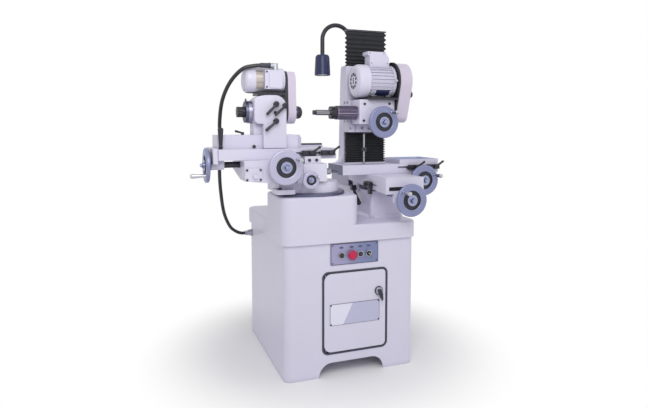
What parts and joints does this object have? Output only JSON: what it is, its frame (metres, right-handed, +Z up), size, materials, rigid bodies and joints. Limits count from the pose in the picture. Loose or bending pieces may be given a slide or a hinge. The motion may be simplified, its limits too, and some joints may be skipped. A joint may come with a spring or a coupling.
{
  "type": "tool and cutter grinder",
  "caption": "Floor-standing tool and cutter grinder: white cabinet, swivelling work head on cross slides at the left, grinding head on a bellows-covered column at the right.",
  "frame": {"origin": "on the floor, at the middle of the cabinet's four floor bolts", "axes": "+X to the right seen from the front, -Y to the front, +Z up"},
  "size_m": [1.2249, 0.8576, 1.5975],
  "materials": {
    "cream_paint": "semi-gloss off-white machine paint",
    "ground_steel": "ground bare steel",
    "wheel_grey": "satin grey handwheel casting",
    "black_steel": "black oxide and black paint",
    "black_rubber": "matt black rubber",
    "black_plastic": "black moulded plastic",
    "red_plastic": "red moulded plastic",
    "panel_blue": "satin blue-grey plate",
    "zinc_plate": "zinc plated sheet and grey plastic",
    "latch_chrome": "polished plating",
    "lamp_navy": "navy black enamel"
  },
  "bodies": {
    "base": {"cabinet": "cream_paint", "bed_casting": "cream_paint", "door_gasket": "black_rubber", "hinge_pins": "ground_steel", "control_panel": "panel_blue", "electrical_panel": "zinc_plate", "conduit_gland": "black_plastic", "turntable_ring": "ground_steel", "conduit": "black_rubber"},
    "door": {"door_panel": "cream_paint"},
    "latch": {"door_latch": "latch_chrome"},
    "start": {"start_button": "black_plastic"},
    "stop": {"stop_button": "red_plastic"},
    "aux": {"aux_button": "black_plastic"},
    "selector": {"selector_knob": "black_plastic"},
    "swivel": {"swivel_base": "cream_paint"},
    "left_slide": {"left_saddle": "cream_paint", "fine_feed_box": "cream_paint"},
    "left_crank": {"left_cross_wheel": "wheel_grey"},
    "fine_crank": {"fine_feed_wheel": "wheel_grey"},
    "fine_knob": {"fine_feed_knob": "ground_steel"},
    "work_table": {"left_table": "cream_paint", "table_end_bracket": "cream_paint", "head_base": "cream_paint", "work_head": "cream_paint", "work_motor": "cream_paint", "work_belt": "black_rubber", "work_guard": "cream_paint"},
    "table_crank": {"table_wheel": "wheel_grey"},
    "dog_1": {"left_dog_a": "black_steel"},
    "dog_2": {"left_dog_b": "black_steel"},
    "tall_lever": {"upright_lever": "black_steel"},
    "low_lever": {"base_lever": "black_steel"},
    "clamp_1": {"clamp_lever_a": "black_steel"},
    "clamp_2": {"clamp_lever_b": "black_steel"},
    "clamp_3": {"clamp_lever_c": "black_steel"},
    "work_spin": {"work_spindle": "ground_steel"},
    "work_drive": {"work_rotor": "ground_steel"},
    "right_slide": {"right_saddle": "cream_paint"},
    "right_crank": {"right_cross_wheel": "wheel_grey"},
    "side_dog": {"saddle_dog": "black_steel"},
    "side_lever": {"saddle_lever": "black_steel"},
    "traverse_crank": {"right_table_wheel": "wheel_grey"},
    "column_table": {"right_table": "cream_paint", "column": "cream_paint", "upper_bellows": "black_rubber", "lower_bellows": "black_rubber", "stop_rod": "ground_steel", "lamp": "lamp_navy"},
    "dog_3": {"right_dog_a": "black_steel"},
    "dog_4": {"right_dog_b": "black_steel"},
    "collar": {"stop_collar": "black_steel"},
    "grinding_head": {"wheel_head": "cream_paint", "quill": "ground_steel", "head_motor": "cream_paint", "head_belt": "black_rubber", "head_guard": "cream_paint"},
    "wheel_spin": {"wheel_spindle": "ground_steel"},
    "lift_crank": {"head_wheel": "wheel_grey"},
    "head_drive": {"head_rotor": "ground_steel"}
  },
  "joints": [
    {"name": "door_swing", "type": "hinge", "parent": "base", "child": "door", "pos_m": [-0.125, -0.3365, 0.286], "axis": [0, 0, 1], "range_deg": [-100, 0]},
    {"name": "latch_turn", "type": "hinge", "parent": "door", "child": "latch", "pos_m": [0.13, -0.341, 0.365], "axis": [0, 1, 0], "range_deg": [-90, 0]},
    {"name": "start_press", "type": "slide", "parent": "base", "child": "start", "axis": [0, 1, 0], "range_m": [0, 0.004], "stiffness_N_per_m": 300},
    {"name": "stop_press", "type": "slide", "parent": "base", "child": "stop", "axis": [0, 1, 0], "range_m": [0, 0.004], "stiffness_N_per_m": 300},
    {"name": "aux_press", "type": "slide", "parent": "base", "child": "aux", "axis": [0, 1, 0], "range_m": [0, 0.004], "stiffness_N_per_m": 300},
    {"name": "selector_turn", "type": "hinge", "parent": "base", "child": "selector", "pos_m": [0.077, -0.343, 0.542], "axis": [0, 1, 0], "range_deg": [-45, 45]},
    {"name": "table_swivel", "type": "hinge", "parent": "base", "child": "swivel", "pos_m": [-0.145, -0.19, 0.84], "axis": [0, 0, 1], "range_deg": [-45, 45], "deforming": ["conduit"]},
    {"name": "left_cross", "type": "slide", "parent": "swivel", "child": "left_slide", "axis": [0, 1, 0], "range_m": [-0.04, 0.04]},
    {"name": "left_crank_turn", "type": "hinge", "parent": "left_slide", "child": "left_crank", "pos_m": [-0.313, -0.38, 0.938], "axis": [0, 1, 0], "range_deg": [-1441, 1441]},
    {"name": "fine_crank_turn", "type": "hinge", "parent": "left_slide", "child": "fine_crank", "pos_m": [-0.203, -0.375, 0.882], "axis": [0, 1, 0], "continuous": true},
    {"name": "fine_knob_turn", "type": "hinge", "parent": "left_slide", "child": "fine_knob", "pos_m": [-0.1, -0.3, 0.91], "axis": [1, 0, 0], "continuous": true},
    {"name": "left_traverse", "type": "slide", "parent": "left_slide", "child": "work_table", "axis": [1, 0, 0], "range_m": [-0.12, 0.03]},
    {"name": "table_crank_turn", "type": "hinge", "parent": "work_table", "child": "table_crank", "pos_m": [-0.616, -0.235, 0.945], "axis": [1, 0, 0], "range_deg": [-4321, 1081]},
    {"name": "dog_1_slide", "type": "slide", "parent": "work_table", "child": "dog_1", "axis": [1, 0, 0], "range_m": [-0.02, 0.008]},
    {"name": "dog_2_slide", "type": "slide", "parent": "work_table", "child": "dog_2", "axis": [1, 0, 0], "range_m": [-0.008, 0.01]},
    {"name": "tall_lever_swing", "type": "hinge", "parent": "work_table", "child": "tall_lever", "pos_m": [-0.563, -0.281, 1.0213], "axis": [0, 1, 0], "range_deg": [-25, 25]},
    {"name": "low_lever_swing", "type": "hinge", "parent": "work_table", "child": "low_lever", "pos_m": [-0.452, -0.18, 1.078], "axis": [0, 0, 1], "range_deg": [-60, 60]},
    {"name": "clamp_1_swing", "type": "hinge", "parent": "work_table", "child": "clamp_1", "pos_m": [-0.3255, -0.28, 1.201], "axis": [0, 1, 0], "range_deg": [0, 70]},
    {"name": "clamp_2_swing", "type": "hinge", "parent": "work_table", "child": "clamp_2", "pos_m": [-0.2855, -0.28, 1.195], "axis": [0, 1, 0], "range_deg": [-70, 0]},
    {"name": "clamp_3_swing", "type": "hinge", "parent": "work_table", "child": "clamp_3", "pos_m": [-0.3265, -0.28, 1.129], "axis": [0, 1, 0], "range_deg": [0, 50]},
    {"name": "work_turn", "type": "hinge", "parent": "work_table", "child": "work_spin", "pos_m": [-0.3295, -0.2, 1.168], "axis": [1, 0, 0], "continuous": true},
    {"name": "work_drive_turn", "type": "hinge", "parent": "work_table", "child": "work_drive", "pos_m": [-0.279, -0.2, 1.305], "axis": [1, 0, 0], "continuous": true},
    {"name": "right_cross", "type": "slide", "parent": "base", "child": "right_slide", "axis": [0, 1, 0], "range_m": [-0.06, 0.06]},
    {"name": "right_crank_turn", "type": "hinge", "parent": "right_slide", "child": "right_crank", "pos_m": [0.241, -0.435, 0.783], "axis": [0, 1, 0], "range_deg": [-2161, 2161]},
    {"name": "side_dog_slide", "type": "slide", "parent": "right_slide", "child": "side_dog", "axis": [0, 1, 0], "range_m": [-0.015, 0.05]},
    {"name": "side_lever_swing", "type": "hinge", "parent": "right_slide", "child": "side_lever", "pos_m": [0.13, -0.048, 0.802], "axis": [1, 0, 0], "range_deg": [-25, 25]},
    {"name": "traverse_crank_turn", "type": "hinge", "parent": "right_slide", "child": "traverse_crank", "pos_m": [0.413, -0.25, 0.848], "axis": [0, 1, 0], "range_deg": [-87, 345]},
    {"name": "right_traverse", "type": "slide", "parent": "right_slide", "child": "column_table", "axis": [1, 0, 0], "range_m": [-0.03, 0.12]},
    {"name": "dog_3_slide", "type": "slide", "parent": "column_table", "child": "dog_3", "axis": [1, 0, 0], "range_m": [-0.02, 0.02]},
    {"name": "dog_4_slide", "type": "slide", "parent": "column_table", "child": "dog_4", "axis": [1, 0, 0], "range_m": [-0.01, 0.01]},
    {"name": "collar_slide", "type": "slide", "parent": "column_table", "child": "collar", "axis": [0, 0, 1], "range_m": [-0.04, 0.04]},
    {"name": "head_lift", "type": "slide", "parent": "column_table", "child": "grinding_head", "axis": [0, 0, 1], "range_m": [-0.06, 0.07], "deforming": ["upper_bellows", "lower_bellows"]},
    {"name": "wheel_turn", "type": "hinge", "parent": "grinding_head", "child": "wheel_spin", "pos_m": [0, -0.2, 1.169], "axis": [1, 0, 0], "continuous": true},
    {"name": "lift_crank_turn", "type": "hinge", "parent": "grinding_head", "child": "lift_crank", "pos_m": [0.177, -0.285, 1.126], "axis": [0, 1, 0], "range_deg": [-173, 202]},
    {"name": "head_drive_turn", "type": "hinge", "parent": "grinding_head", "child": "head_drive", "pos_m": [0.254, -0.2, 1.315], "axis": [1, 0, 0], "continuous": true}
  ],
  "couplings": [
    {"joint": "left_crank_turn", "follows": "left_cross", "rad_per_m": 628.32},
    {"joint": "table_crank_turn", "follows": "left_traverse", "rad_per_m": 628.32},
    {"joint": "right_crank_turn", "follows": "right_cross", "rad_per_m": 628.32},
    {"joint": "traverse_crank_turn", "follows": "right_traverse", "rad_per_m": 50},
    {"joint": "lift_crank_turn", "follows": "head_lift", "rad_per_m": 50},
    {"joint": "work_drive_turn", "follows": "work_turn", "ratio": 1.1786},
    {"joint": "head_drive_turn", "follows": "wheel_turn", "ratio": 0.71429}
  ]
}
